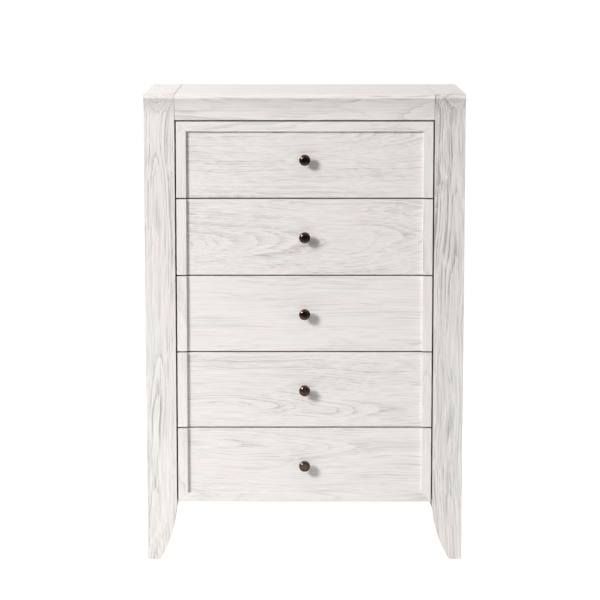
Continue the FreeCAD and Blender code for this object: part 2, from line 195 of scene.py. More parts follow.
oakLook = {
    "paint": (0.845, 0.815, 0.790, 1),
    "rose": (0.860, 0.802, 0.786, 1),
    "line": (0.43, 0.405, 0.385, 1),
    # colour of the dark band at board ends: partly glaze in the joint, partly painted shade of the joint gap
    "seamGlazeAndShade": (0.20, 0.19, 0.18, 1),
    "jointStrength": 0.75,
    "ringWidth": 0.0062,
    "wander": 0.045,
    "ripple": 0.0042,
    "ringStrength": 0.95,
    "brushStrength": 0.27,
    "poreStrength": 0.2,
    "lineBreaks": (0.75, 0.35),   # each pair is a factor and what is added after it
    "linePatches": (0.8, 0.2),
    "openPores": (0.8, 0.3),
    "roughness": (0.35, 0.46),
    "tint": {"stretch": (4, 22, 22), "edges": (0.45, 0.75)},
    "bumpDepth": 0.00035,
}


# The "joint" attribute holds the way from the board's middle, half its length, and the end band's width.
def makeEndBand():
    inputs, outputs = {"Joint": (vectorSocket,)}, {"Mask": (floatSocket,)}
    tree, given, result = newGroup("endBand", "ShaderNodeTree", inputs, outputs)
    offset, half, band = addNode(tree, "ShaderNodeSeparateXYZ", {0: given["Joint"]}).outputs
    fromEnd = calc(tree, "SUBTRACT", half, calc(tree, "ABSOLUTE", offset))
    plug(tree, result["Mask"], calc(tree, "LESS_THAN", fromEnd, band))
    return tree


endBand = makeEndBand()


def jointMask(tree):
    band = addNode(tree, "ShaderNodeGroup", node_tree=endBand)
    attribute = addNode(tree, "ShaderNodeAttribute", attribute_name="joint")
    plug(tree, band.inputs["Joint"], attribute.outputs["Vector"])
    return band.outputs["Mask"]


def roughen(tree, shader, height, depth):
    bump = addNode(tree, "ShaderNodeBump", {"Distance": depth}, invert=True)
    plug(tree, bump.inputs["Height"], height)
    plug(tree, shader["Normal"], bump.outputs[0])


# White-washed open-grain oak. The piece's "boldness" attribute says how strongly its figure shows.
def makeWhitewashedOak():
    material, tree, shader = newMaterial("whitewashedOak", **{"Specular IOR Level": 0.35})
    place = grainSource(tree)
    boldness = addNode(tree, "ShaderNodeAttribute", attribute_name="boldness").outputs["Fac"]
    grain = addNode(tree, "ShaderNodeGroup", node_tree=woodGrain)
    for label, key in (("Ring Width", "ringWidth"), ("Wander", "wander"), ("Ripple", "ripple")):
        grain.inputs[label].default_value = oakLook[key]
    plug(tree, grain.inputs["Vector"], place)
    rings, patches, pores, brushing = grain.outputs
    # the lines break up where the brushing is light, and come and go in patches
    broken = calc(tree, "MULTIPLY_ADD", brushing, *oakLook["lineBreaks"])
    shown = calc(tree, "MULTIPLY_ADD", patches, *oakLook["linePatches"])
    lines = calc(tree, "MULTIPLY", calc(tree, "MULTIPLY", rings, broken), shown)
    lines = calc(tree, "MULTIPLY", lines, oakLook["ringStrength"])
    streaks = calc(tree, "MULTIPLY", brushing, oakLook["brushStrength"])
    openPores = calc(tree, "MULTIPLY", pores, calc(tree, "MULTIPLY_ADD", rings, *oakLook["openPores"]))
    specks = calc(tree, "MULTIPLY", openPores, oakLook["poreStrength"])
    grey = calc(tree, "ADD", calc(tree, "ADD", lines, streaks), specks)
    grey = calc(tree, "MULTIPLY", grey, boldness, clamp=True)
    clouds = noise(tree, scaled(tree, place, oakLook["tint"]["stretch"]), 2)
    tint = step(tree, clouds, *oakLook["tint"]["edges"])
    paint = blendColor(tree, tint, oakLook["paint"], oakLook["rose"])
    grained = blendColor(tree, grey, paint, oakLook["line"])
    # the dark band at the board ends is partly glaze in the joint and partly painted shade of the joint gap
    jointGlazeAndShade = calc(tree, "MULTIPLY", jointMask(tree), oakLook["jointStrength"])
    plug(tree, shader["Base Color"], blendColor(tree, jointGlazeAndShade, grained, oakLook["seamGlazeAndShade"]))
    plug(tree, shader["Roughness"], calc(tree, "MULTIPLY_ADD", grey, *oakLook["roughness"]))
    roughen(tree, shader, grey, oakLook["bumpDepth"])
    return material


knobLook = {
    "bronze": (0.14, 0.094, 0.072, 1),
    "sheen": (0.19, 0.125, 0.092, 1),
    "clouds": (160, 160, 160),
    "roughness": (0.13, 0.22),
}


def makeDarkBronze():
    material, tree, shader = newMaterial("darkBronze", Metallic=1)
    place = addNode(tree, "ShaderNodeTexCoord").outputs["Object"]
    clouds = noise(tree, scaled(tree, place, knobLook["clouds"]), 3)
    worn = step(tree, clouds, 0.5, 0.75)
    plug(tree, shader["Base Color"], blendColor(tree, worn, knobLook["bronze"], knobLook["sheen"]))
    plug(tree, shader["Roughness"], step(tree, clouds, 0.3, 0.7, *knobLook["roughness"]))
    return material


plainLook = {
    "pith": (3.1, 0.09, 0.16),   # where the tree's middle lies from the origin, for boards left as they are
    "wander": 0.07,
    "ripple": 0.004,
    "rings": 0.55,
    "brushing": 0.3,
    "pores": 0.2,
    "endGrain": 0.7,
    "roughness": (0.25, 0.42),
    "bumpDepth": 0.00012,
}


# Clear-finished wood of the unseen parts, with its grain along the board.
def makePlainWood(name, pale, dark, strength, ringWidth, turn=None):
    material, tree, shader = newMaterial(name, **{"Specular IOR Level": 0.3})
    place = grainSource(tree)
    if turn is not None:
        coordinates = addNode(tree, "ShaderNodeTexCoord").outputs["Object"]
        mapping = addNode(tree, "ShaderNodeMapping", {"Vector": coordinates, "Rotation": turn})
        mapping.inputs["Location"].default_value = plainLook["pith"]
        place = mapping.outputs[0]
    grain = addNode(tree, "ShaderNodeGroup", node_tree=woodGrain)
    sizes = (place, ringWidth, plainLook["wander"], plainLook["ripple"])
    for label, value in zip(("Vector", "Ring Width", "Wander", "Ripple"), sizes):
        plug(tree, grain.inputs[label], value)
    figure = calc(tree, "MULTIPLY", grain.outputs["Rings"], plainLook["rings"])
    figure = calc(tree, "MULTIPLY_ADD", grain.outputs["Brushing"], plainLook["brushing"], figure)
    figure = calc(tree, "MULTIPLY_ADD", grain.outputs["Pores"], plainLook["pores"], figure)
    # end grain takes the finish darker
    figure = calc(tree, "MULTIPLY_ADD", jointMask(tree), plainLook["endGrain"], figure)
    shown = calc(tree, "MULTIPLY", figure, strength, clamp=True)
    plug(tree, shader["Base Color"], blendColor(tree, shown, pale, dark))
    plug(tree, shader["Roughness"], calc(tree, "MULTIPLY_ADD", shown, *plainLook["roughness"]))
    roughen(tree, shader, shown, plainLook["bumpDepth"])
    return material


steelLook = {
    "zinc": {"bright": (0.68, 0.69, 0.71, 1), "dull": (0.60, 0.61, 0.63, 1), "drawn": (900, 6, 900)},
    "screw": {"bright": (0.62, 0.62, 0.60, 1), "dull": (0.46, 0.46, 0.44, 1), "drawn": (700, 700, 700)},
    "clouds": (45, 45, 45),
    "roughness": (0.27, 0.36),
}


# Zinc-plated steel, cloudy from the plating and streaked the way the sheet was drawn.
def makeSteel(name, look):
    material, tree, shader = newMaterial(name, Metallic=1)
    place = addNode(tree, "ShaderNodeTexCoord").outputs["Object"]
    streaks = noise(tree, scaled(tree, place, look["drawn"]), 2)
    clouds = noise(tree, scaled(tree, place, steelLook["clouds"]), 3)
    mixed = calc(tree, "MULTIPLY_ADD", streaks, 0.5, calc(tree, "MULTIPLY", clouds, 0.5))
    dull = step(tree, mixed, 0.38, 0.62)
    plug(tree, shader["Base Color"], blendColor(tree, dull, look["bright"], look["dull"]))
    plug(tree, shader["Roughness"], step(tree, mixed, 0.35, 0.65, *steelLook["roughness"]))
    return material


nylonLook = {
    "clean": (0.82, 0.81, 0.78, 1),
    "scuffed": (0.62, 0.61, 0.58, 1),
    "scuffs": (260, 260, 900),
    "bumpDepth": 0.0001,
}


def makeNylon():
    material, tree, shader = newMaterial("whiteNylon", Roughness=0.45)
    place = addNode(tree, "ShaderNodeTexCoord").outputs["Object"]
    scuffs = step(tree, noise(tree, scaled(tree, place, nylonLook["scuffs"]), 3), 0.48, 0.7)
    plug(tree, shader["Base Color"], blendColor(tree, scuffs, nylonLook["clean"], nylonLook["scuffed"]))
    roughen(tree, shader, scuffs, nylonLook["bumpDepth"])
    return material


whitewashedOak = makeWhitewashedOak()
darkBronze = makeDarkBronze()
# each wood's pale and dark colour, the strength of its figure and its ring width
hardwood = ((0.74, 0.60, 0.43, 1), (0.50, 0.36, 0.22, 1), 0.75, 0.0045)
veneer = ((0.76, 0.66, 0.52, 1), (0.55, 0.43, 0.30, 1), 0.55, 0.008)
lying = (0, 0, 0)
upright = (0, math.radians(90), 0)   # turns Z to lie along the grain's X
paleHardwood = makePlainWood("paleHardwood", *hardwood)
paleHardwoodRail = makePlainWood("paleHardwoodRail", *hardwood, lying)
lyingBoard = makePlainWood("lyingPanelBoard", *veneer, lying)
standingBoard = makePlainWood("standingPanelBoard", *veneer, upright)
zincSteel = makeSteel("zincSteel", steelLook["zinc"])
screwSteel = makeSteel("screwSteel", steelLook["screw"])
whiteNylon = makeNylon()
print("materials made")


mending = {"merge": 2e-6, "flatAngle": 0.6, "arrisAngle": 38, "creaseAngle": 40}


def linked(name, data):
    item = bpy.data.objects.new(name, data)
    bpy.context.collection.objects.link(item)
    return item


def finished(piece, body, slotName, material, *nodes):
    piece.data.materials.clear()
    piece.data.materials.append(material)
    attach(piece, body)
    if nodes:
        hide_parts(*nodes)
    return piece


def repaint(nodeName, material):
    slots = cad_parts[nodeName].data.materials
    slots.clear()
    slots.append(material)


# The object's mesh as its modifiers leave it, with the modifiers gone.
def settle(piece):
    graph = bpy.context.evaluated_depsgraph_get()
    worked = piece.evaluated_get(graph)
    made = bpy.data.meshes.new_from_object(worked, preserve_all_data_layers=True, depsgraph=graph)
    old = piece.data
    piece.modifiers.clear()
    piece.data = made
    bpy.data.meshes.remove(old)
    made.name = piece.name
    return piece


def mergedCopy(nodeName):
    shape = bmesh.new()
    shape.from_mesh(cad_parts[nodeName].data)
    bmesh.ops.remove_doubles(shape, verts=shape.verts, dist=mending["merge"])
    flat = math.radians(mending["flatAngle"])
    bmesh.ops.dissolve_limit(shape, angle_limit=flat, verts=shape.verts, edges=shape.edges)
    return shape


def looseParts(shape):
    left = set(shape.verts)
    while left:
        part, waiting = set(), [next(iter(left))]
        while waiting:
            vertex = waiting.pop()
            if vertex not in part:
                part.add(vertex)
                waiting.extend(edge.other_vert(vertex) for edge in vertex.link_edges)
        left -= part
        yield part


def boxOf(points):
    low = Vector([min(point[axis] for point in points) for axis in range(3)])
    high = Vector([max(point[axis] for point in points) for axis in range(3)])
    return low, high


def cornersOf(part):
    return boxOf([vertex.co for vertex in part])


def meshOf(name, shape):
    mesh = bpy.data.meshes.new(name)
    for face in shape.faces:
        face.smooth = True
    shape.to_mesh(mesh)
    shape.free()
    return mesh


# Several shapes as one mesh, with its creases sharp.
def gathered(name, parts):
    whole = bmesh.new()
    for part in parts:
        spare = meshOf("spare", part)
        whole.from_mesh(spare)
        bpy.data.meshes.remove(spare)
    mesh = meshOf(name, whole)
    mesh.set_sharp_from_angle(angle=math.radians(mending["creaseAngle"]))
    return mesh


# Draws the faces out by the given way and closes the sides.
def extruded(shape, faces, way):
    grown = bmesh.ops.extrude_face_region(shape, geom=faces)["geom"]
    moved = [item for item in grown if isinstance(item, bmesh.types.BMVert)]
    bmesh.ops.translate(shape, verts=moved, vec=way)
    bmesh.ops.recalc_face_normals(shape, faces=shape.faces)
    return shape


# Rounds the arrises of a bmesh and keeps its flat faces flat.
def easedPiece(name, shape, radius):
    piece = linked(name, meshOf(name, shape))
    bevel = piece.modifiers.new("arris", "BEVEL")
    bevel.width = radius
    bevel.segments = 2
    bevel.limit_method = "ANGLE"
    bevel.angle_limit = math.radians(mending["arrisAngle"])
    bevel.harden_normals = False
    shading = piece.modifiers.new("flat faces", "WEIGHTED_NORMAL")
    shading.weight = 100
    return settle(piece)


# along: the way the grain runs; show: the face's axis; pith: how far the middle of the tree lies
# from the board's middle, across it and behind it; slant: how the tree leans along the board.
# band: how wide the dark line at the board's ends is; on the oak it is partly glaze and partly painted shade
# of the joint gap, on the plain wood darker end grain. A figure with a shift along the tree is fixed.
plainFigure = {"pith": (0.012, 0.055), "slant": (0.02, 0.03), "bold": 1.0, "band": 0}


def writeGrain(piece, along, show, figure, seed):
    mesh = piece.data
    shape = bmesh.new()
    shape.from_mesh(mesh)
    length, depth = axisNumber[along], axisNumber[show]
    across = 3 - length - depth
    grain = [0.0] * (3 * len(mesh.vertices))
    joints = [0.0] * (3 * len(mesh.vertices))
    for number, part in enumerate(sorted(looseParts(shape), key=lambda part: tuple(cornersOf(part)[0]))):
        chance = random.Random(f"{seed}-{number}")
        low, high = cornersOf(part)
        middle = (low + high) / 2
        half = (high - low)[length] / 2
        (pithAcross, pithBehind), (slantAcross, slantBehind) = figure["pith"], figure["slant"]
        shift = figure.get("shift")
        if shift is None:
            shift = chance.uniform(0, 40)
            pithAcross *= chance.uniform(-1, 1)
            slantAcross *= chance.choice((-1, 1))
            slantBehind *= chance.choice((-1, 1))
        for vertex in part:
            place = vertex.co - middle
            own = slice(3 * vertex.index, 3 * vertex.index + 3)
            grain[own] = (
                place[length] + shift,
                place[across] + pithAcross + slantAcross * place[length],
                place[depth] + pithBehind + slantBehind * place[length],
            )
            if figure.get("lowEndOnly"):
                joints[own] = (place[length] - half, 2 * half, figure["band"])
            else:
                joints[own] = (place[length], half, figure["band"])
    shape.free()
    mesh.attributes.new("joint", "FLOAT_VECTOR", "POINT").data.foreach_set("vector", joints)
    mesh.attributes.new("grain", "FLOAT_VECTOR", "POINT").data.foreach_set("vector", grain)
    bold = mesh.attributes.new("boldness", "FLOAT", "POINT")
    bold.data.foreach_set("value", [figure["bold"]] * len(mesh.vertices))


# Draws each part's ends in by the given gap, so that a fine dark line shows at the joints.
def openJoints(shape, gap):
    nearEnd = 1e-5
    for part in looseParts(shape):
        low, high = cornersOf(part)
        for vertex in part:
            for axis, amount in enumerate(gap):
                if vertex.co[axis] < low[axis] + nearEnd:
                    vertex.co[axis] += amount
                elif vertex.co[axis] > high[axis] - nearEnd:
                    vertex.co[axis] -= amount


def oakBoard(name, node, along, show, arris, gap=(0, 0, 0), body="case", **figure):
    shape = mergedCopy(node)
    openJoints(shape, gap)
    piece = easedPiece(name, shape, arris)
    writeGrain(piece, along, show, {**plainFigure, **figure}, name)
    return finished(piece, body, "whitewashed_oak", whitewashedOak, node)


jointGap = 0.0007
# the top panel's and caps' end bands are partly glaze and partly painted shade of the joint gap
topPanel = {"arris": 0.0006, "gap": (jointGap, 0, 0), "band": 0.0008, "bold": 0.4}
sideTopCaps = {"arris": 0.0006, "gap": (0, jointGap, 0), "band": 0.0026, "lowEndOnly": True, "bold": 0.4}
frontTopRail = {"arris": 0.0008, "gap": (jointGap, 0, 0), "pith": (0.05, 0.06), "bold": 0.65}
leftFrontLeg = {"arris": 0.001, "pith": (0.01, 0.047), "slant": (0.0, 0.025), "shift": 31, "bold": 1.05}
rightFrontLeg = {"arris": 0.001, "pith": (-0.014, 0.05), "slant": (0.0, 0.03), "shift": 37, "bold": 1.35}
rearLeg = {"arris": 0.0012, "pith": (0.02, 0.03), "bold": 0.85}
sidePanels = {"arris": 0.0008, "bold": 0.7}
sideRails = {"arris": 0.001, "gap": (0, jointGap, 0), "pith": (0.03, 0.04), "bold": 0.8}
nodeWoods = {"rear_top_rail": paleHardwoodRail, "bottom_panel": lyingBoard, "back_panel": standingBoard}

oakBoard("topPanel", "top_panel", "x", "z", **topPanel)
oakBoard("sideTopCaps", "side_top_caps", "y", "z", **sideTopCaps)
oakBoard("frontTopRail", "front_top_rail", "x", "y", **frontTopRail)
oakBoard("leftFrontLeg", "left_front_leg", "z", "y", **leftFrontLeg)
oakBoard("rightFrontLeg", "right_front_leg", "z", "y", **rightFrontLeg)
oakBoard("leftRearLeg", "left_rear_leg", "z", "x", **rearLeg)
oakBoard("rightRearLeg", "right_rear_leg", "z", "x", **rearLeg)
oakBoard("sidePanels", "side_panels", "z", "x", **sidePanels)
oakBoard("sideRails", "side_rails", "y", "x", **sideRails)
for node, wood in nodeWoods.items():
    repaint(node, wood)
print("case boards made")


frontStrips = {"width": 0.025, "arris": 0.0006, "bold": 0.5}
frontEase = 0.0003   # how far a drawer's front stands in from its drawn outline


# The outline of each strip laid on a drawer's front, seen from the front, and their front and back planes.
def stripOutlines(number):
    low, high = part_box(f"drawer_{number}_front_frame")
    ease = Vector((frontEase, 0, frontEase))
    low, high = low + ease, high - ease
    width = frontStrips["width"]
    top = high.z - width if number == 1 else high.z
    bottom = low.z + width if number == 5 else low.z
    outlines = [
        [(low.x, low.z), (low.x + width, bottom), (low.x + width, top), (low.x, high.z)],
        [(high.x, low.z), (high.x, high.z), (high.x - width, top), (high.x - width, bottom)],
    ]
    if number == 1:
        outlines.append([(low.x, high.z), (low.x + width, top), (high.x - width, top), (high.x, high.z)])
    if number == 5:
        outlines.append([(low.x, low.z), (high.x, low.z), (high.x - width, bottom), (low.x + width, bottom)])
    return outlines, low.y, high.y


def drawerFrontFrame(number):
    outlines, front, back = stripOutlines(number)
    strips = []
    for order, outline in enumerate(outlines):
        shape = bmesh.new()
        face = shape.faces.new([shape.verts.new((x, front, z)) for x, z in outline])
        extruded(shape, [face], (0, back - front, 0))
        name = f"drawer{number}Strip{order}"
        strip = easedPiece(name, shape, frontStrips["arris"])
        figure = {**plainFigure, "bold": frontStrips["bold"]}
        writeGrain(strip, "x" if order == 2 else "z", "y", figure, name)
        strips.append(strip)
    return joined(f"drawer{number}FrontFrame", strips)


def joined(name, parts):
    chosen = {"active_object": parts[0], "selected_objects": parts, "selected_editable_objects": parts}
    with bpy.context.temp_override(**chosen):
        bpy.ops.object.join()
    parts[0].name = name
    parts[0].data.name = name
    return parts[0]


drawerFigures = {
    1: {"pith": (-0.07, 0.04), "slant": (0.01, 0.08), "shift": 3.0, "bold": 0.72},
    2: {"pith": (0.010, 0.07), "slant": (0.0, 0.1), "shift": 8.3, "bold": 0.8},
    3: {"pith": (0.08, 0.05), "slant": (0.01, 0.02), "shift": 13.0, "bold": 0.55},
    4: {"pith": (0.045, 0.04), "slant": (0.01, 0.06), "shift": 18.0, "bold": 0.75},
    5: {"pith": (-0.05, 0.04), "slant": (0.01, 0.04), "shift": 23.0, "bold": 0.6},
}

frontPanel = {"along": "x", "show": "y", "arris": 0.0005, "gap": (frontEase, 0, frontEase)}
for number, figure in drawerFigures.items():
    body = f"drawer_{number}"
    oakBoard(f"drawer{number}FrontPanel", f"{body}_front_panel", body=body, **frontPanel, **figure)
    finished(drawerFrontFrame(number), body, "whitewashed_oak", whitewashedOak, f"{body}_front_frame")
print("drawer fronts made")


knobTurning = {"segments": 64, "steps": 6, "radius": 0.0143}

# Curved stretches of the turned profile, as (radius, height) from the plate that meets the drawer.
knobProfile = [
    ((0.0, 0.0), (0.003, 0.0), (0.006, 0.0), (0.0084, 0.0)),
    ((0.0084, 0.0), (0.0089, 0.0), (0.009, 0.0003), (0.009, 0.0008)),
    ((0.009, 0.0008), (0.009, 0.0016), (0.0085, 0.002), (0.0076, 0.0021)),
    ((0.0076, 0.0021), (0.0062, 0.0023), (0.0055, 0.0036), (0.0055, 0.0062)),
    ((0.0055, 0.0062), (0.0055, 0.0105), (0.0062, 0.0142), (0.0098, 0.0158)),
    ((0.0098, 0.0158), (0.0125, 0.0165), (0.0143, 0.0178), (0.0143, 0.0200)),
    ((0.0143, 0.0200), (0.0143, 0.0222), (0.0136, 0.0231), (0.0122, 0.0234)),
    ((0.0122, 0.0234), (0.0114, 0.0236), (0.0108, 0.0231), (0.0102, 0.0231)),
    ((0.0102, 0.0231), (0.0096, 0.0231), (0.0092, 0.0238), (0.0084, 0.0239)),
    ((0.0084, 0.0239), (0.0056, 0.024), (0.0028, 0.024), (0.0, 0.024)),
]


def turned(profile, segments, steps):
    outline = []
    for stretch in profile:
        points = interpolate_bezier(*[Vector((r, h, 0)) for r, h in stretch], steps + 1)
        outline.extend(points if not outline else points[1:])
    shape = bmesh.new()
    start = [shape.verts.new((point.x, 0, point.y)) for point in outline]
    edges = [shape.edges.new(pair) for pair in zip(start, start[1:])]
    turn = {"cent": (0, 0, 0), "axis": (0, 0, 1), "angle": 2 * math.pi, "steps": segments, "use_merge": True}
    bmesh.ops.spin(shape, geom=start + edges, **turn)
    bmesh.ops.remove_doubles(shape, verts=shape.verts, dist=1e-7)
    bmesh.ops.recalc_face_normals(shape, faces=shape.faces)
    return shape


def knob(number):
    body = f"drawer_{number}"
    low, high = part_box(f"{body}_knob")
    centre = (low + high) / 2
    shape = turned(knobProfile, knobTurning["segments"], knobTurning["steps"])
    size = (high.x - low.x) / 2 / knobTurning["radius"]
    place = Matrix.Translation((centre.x, high.y, centre.z)) @ Matrix.Rotation(math.radians(90), 4, "X")
    bmesh.ops.transform(shape, matrix=place @ Matrix.Diagonal((size, size, 1, 1)), verts=shape.verts)
    name = f"drawer{number}Knob"
    finished(linked(name, meshOf(name, shape)), body, "dark_bronze", darkBronze, f"{body}_knob")


for number in drawerNumbers:
    knob(number)
print("knobs made")


dovetails = {"tails": 5, "pinEnd": 0.0065, "slope": 0.19, "arris": 0.0005}


# Heights of the pins' edges at the board's end and at the shoulder, from the bottom up.
def pinEdges(low, high, thickness):
    pitch = (high - low) / dovetails["tails"]
    narrow = dovetails["pinEnd"] / 2
    wide = narrow + thickness * dovetails["slope"]
    centres = [low + pitch * number for number in range(dovetails["tails"] + 1)]
    ends, shoulders = [], []
    for centre in centres:
        for side in (-1, 1):
            ends.append(min(max(centre + side * narrow, low), high))
            shoulders.append(min(max(centre + side * wide, low), high))
    return ends[1:-1], shoulders[1:-1]


# A side, with tails at both ends: its outline seen from the side, extruded through its thickness.
def tailBoard(low, high, thickness):
    ends, shoulders = pinEdges(low.z, high.z, thickness)
    outline = []
    for y, inward, order in ((low.y, thickness, 1), (high.y, -thickness, -1)):
        edge = [(y + inward, low.z)]
        for number, (end, shoulder) in enumerate(zip(ends, shoulders)):
            pair = [(y + inward, shoulder), (y, end)]
            edge.extend(pair if number % 2 == 0 else pair[::-1])
        edge.append((y + inward, high.z))
        outline.extend(edge[::order])
    shape = bmesh.new()
    face = shape.faces.new([shape.verts.new((low.x, y, z)) for y, z in outline])
    return extruded(shape, [face], (high.x - low.x, 0, 0))


# An end, with pins that reach through the sides and narrow towards the outside of the box.
def pinBoard(low, high, reach, frontEnd):
    ends, shoulders = pinEdges(low.z, high.z, high.y - low.y)
    ends, shoulders = [low.z] + ends + [high.z], [low.z] + shoulders + [high.z]
    endPlane, shoulderPlane = (low.y, high.y) if frontEnd else (high.y, low.y)
    shape = bmesh.new()
    columns = []
    for x in (low.x, high.x):
        endColumn = [shape.verts.new((x, endPlane, z)) for z in ends]
        columns.append((endColumn, [shape.verts.new((x, shoulderPlane, z)) for z in shoulders]))
    (leftEnd, leftShoulder), (rightEnd, rightShoulder) = columns
    shape.faces.new(leftEnd + rightEnd[::-1])
    shape.faces.new(leftShoulder + rightShoulder[::-1])
    for edge in (0, -1):
        shape.faces.new((leftEnd[edge], rightEnd[edge], rightShoulder[edge], leftShoulder[edge]))
    for (end, shoulder), outward in zip(columns, (-reach, reach)):
        for number in range(len(end) - 1):
            quad = (end[number], end[number + 1], shoulder[number + 1], shoulder[number])
            face = shape.faces.new(quad)
            if number % 2 == 0:
                grown = bmesh.ops.extrude_discrete_faces(shape, faces=[face])["faces"]
                bmesh.ops.translate(shape, verts=grown[0].verts, vec=(outward, 0, 0))
    bmesh.ops.recalc_face_normals(shape, faces=shape.faces)
    return shape


def boxesOfParts(nodeName):
    shape = mergedCopy(nodeName)
    boxes = sorted((cornersOf(part) for part in looseParts(shape)), key=lambda corners: tuple(corners[0]))
    shape.free()
    return boxes


boxFigure = {"pith": (0.02, 0.06), "slant": (0.01, 0.03), "bold": 1.0, "band": 0.0003}


def hardwoodPiece(name, shapes, along, show, body, node):
    parts = []
    for number, shape in enumerate(shapes):
        part = easedPiece(f"{name}{number}", shape, dovetails["arris"])
        writeGrain(part, along, show, boxFigure, f"{name}{number}")
        parts.append(part)
    return finished(joined(name, parts), body, "pale_hardwood", paleHardwood, node)


def drawerBox(number):
    body = f"drawer_{number}"
    sides, ends = boxesOfParts(f"{body}_box_sides"), boxesOfParts(f"{body}_box_ends")
    thickness = sides[0][1].x - sides[0][0].x
    ends.sort(key=lambda corners: corners[0].y)
    tails = [tailBoard(low, high, thickness) for low, high in sides]
    pins = [pinBoard(*corners, thickness, order == 0) for order, corners in enumerate(ends)]
    hardwoodPiece(f"drawer{number}BoxSides", tails, "y", "x", body, f"{body}_box_sides")
    hardwoodPiece(f"drawer{number}BoxEnds", pins, "x", "y", body, f"{body}_box_ends")
    repaint(f"{body}_bottom", lyingBoard)


for number in drawerNumbers:
    drawerBox(number)
print("drawer boxes made")


slideLook = {"wall": 0.0012, "bend": 0.003, "curl": 0.0016, "curlTurn": 130, "arcSteps": 4}


# Middle line of a channel's section: webs lie at 0 and flanges reach to depth, with curled tips.
def channelLine(depth, height):
    bend, curl, half = slideLook["bend"], slideLook["curl"], height / 2
    upper = []
    for centre, radius, start, turn in (
        ((bend, half - bend), bend, 180, -90),
        ((depth - curl, half - curl), curl, 90, -slideLook["curlTurn"]),
    ):
        for stepNumber in range(slideLook["arcSteps"] + 1):
            angle = math.radians(start + turn * stepNumber / slideLook["arcSteps"])
            upper.append((centre[0] + radius * math.cos(angle), centre[1] + radius * math.sin(angle)))
    return [(u, -v) for u, v in upper[::-1]] + upper


# Thickens the line to a closed section.
def channelSection(depth, height):
    wall = slideLook["wall"]
    line = [Vector(point) for point in channelLine(depth - wall, height - wall)]
    before, after = [], []
    for number, point in enumerate(line):
        ahead = line[min(number + 1, len(line) - 1)] - line[max(number - 1, 0)]
        side = Vector((-ahead.y, ahead.x)).normalized() * wall / 2
        before.append(point + side)
        after.append(point - side)
    return [point + Vector((wall / 2, 0)) for point in before + after[::-1]]


def channelMember(low, high, webIsOuter):
    outward = 1 if (low.x + high.x > 0) == webIsOuter else -1
    web = high.x if outward > 0 else low.x
    middle = (low.z + high.z) / 2
    shape = bmesh.new()
    section = channelSection(high.x - low.x, high.z - low.z)
    corners = [shape.verts.new((web - outward * u, low.y, middle + v)) for u, v in section]
    half = len(corners) // 2
    rims = []
    for number in range(half - 1):
        mirror = len(corners) - 1 - number
        quad = (corners[number], corners[number + 1], corners[mirror - 1], corners[mirror])
        rims.append(shape.faces.new(quad))
    return extruded(shape, rims, (0, high.y - low.y, 0))


def channelMembers(name, node, body, webIsOuter):
    mesh = gathered(name, [channelMember(*corners, webIsOuter) for corners in boxesOfParts(node)])
    finished(linked(name, mesh), body, "zinc_steel", zincSteel, node)


channelMembers("caseSlideMembers", "case_slide_members", "case", True)
for number in drawerNumbers:
    body = f"drawer_{number}"
    channelMembers(f"drawer{number}MiddleMembers", f"{body}_middle_members", f"{body}_runners", True)
    channelMembers(f"drawer{number}SlideMembers", f"{body}_slide_members", body, False)
print("slides made")


geometrySocket, materialSocket = "NodeSocketGeometry", "NodeSocketMaterial"


# Evaluates the tree on an object that holds the starting points, and keeps the result as a plain mesh.
def grownPiece(name, tree, points, values, body, slotName, material, node=None, facings=None):
    mesh = bpy.data.meshes.new(name)
    mesh.from_pydata([tuple(point) for point in points], [], [])
    if facings:
        facing = mesh.attributes.new("facing", "FLOAT_VECTOR", "POINT")
        facing.data.foreach_set("vector", [part for vector in facings for part in vector])
    piece = linked(name, mesh)
    modifier = piece.modifiers.new("grown", "NODES")
    modifier.node_group = tree
    for item in tree.interface.items_tree:
        if item.item_type == "SOCKET" and item.in_out == "INPUT" and item.name in values:
            modifier[item.identifier] = values[item.name]
    settle(piece)
    return finished(piece, body, slotName, material, *([node] if node else []))


# Puts the geometry on every point; the instances may be turned.
def setOn(tree, points, geometry):
    return addNode(tree, "GeometryNodeInstanceOnPoints", {"Points": points, "Instance": geometry})


# Every tree ends here: its instances become one painted mesh.
def madeReal(tree, instances, material, output):
    real = addNode(tree, "GeometryNodeRealizeInstances", {0: instances.outputs[0]})
    painted = addNode(tree, "GeometryNodeSetMaterial", {"Geometry": real.outputs[0], "Material": material})
    plug(tree, output, painted.outputs[0])


# Places the shape on every point, turned to the point's "facing".
def placeOnPoints(tree, points, shape, smooth):
    facing = addNode(tree, "GeometryNodeInputNamedAttribute", {"Name": "facing"}, data_type="FLOAT_VECTOR")
    turn = addNode(tree, "FunctionNodeAlignRotationToVector", {"Vector": facing.outputs[0]}, axis="Z")
    shaded = addNode(tree, "GeometryNodeSetShadeSmooth", {"Geometry": shape, "Shade Smooth": smooth})
    placed = setOn(tree, points, shaded.outputs[0])
    plug(tree, placed.inputs["Rotation"], turn.outputs[0])
    return placed


def makeBallRows():
    inputs = {
        "Points": (geometrySocket,),
        "Ball Radius": (floatSocket, 0.001),
        "Pitch": (floatSocket, 0.006),
        "Balls": ("NodeSocketInt", 20),
        "Material": (materialSocket,),
    }
    tree, given, result = newGroup("ballRows", "GeometryNodeTree", inputs, {"Balls": (geometrySocket,)})
    pitch = addNode(tree, "ShaderNodeCombineXYZ", {"Y": given["Pitch"]})
    row = addNode(tree, "GeometryNodeMeshLine", {"Count": given["Balls"], "Offset": pitch.outputs[0]})
    rows = setOn(tree, given["Points"], row.outputs[0])
    places = addNode(tree, "GeometryNodeRealizeInstances", {0: rows.outputs[0]})
    ball = addNode(tree, "GeometryNodeMeshIcoSphere", {"Radius": given["Ball Radius"], "Subdivisions": 2})
    placed = placeOnPoints(tree, places.outputs[0], ball.outputs[0], True)
    madeReal(tree, placed, given["Material"], result["Balls"])
    return tree


# A screw's head and recess, as shares of the head's radius or height.
screwHead = {"topRadius": 0.72, "armLength": 1.05, "armWidth": 0.24, "armDepth": 1.2}


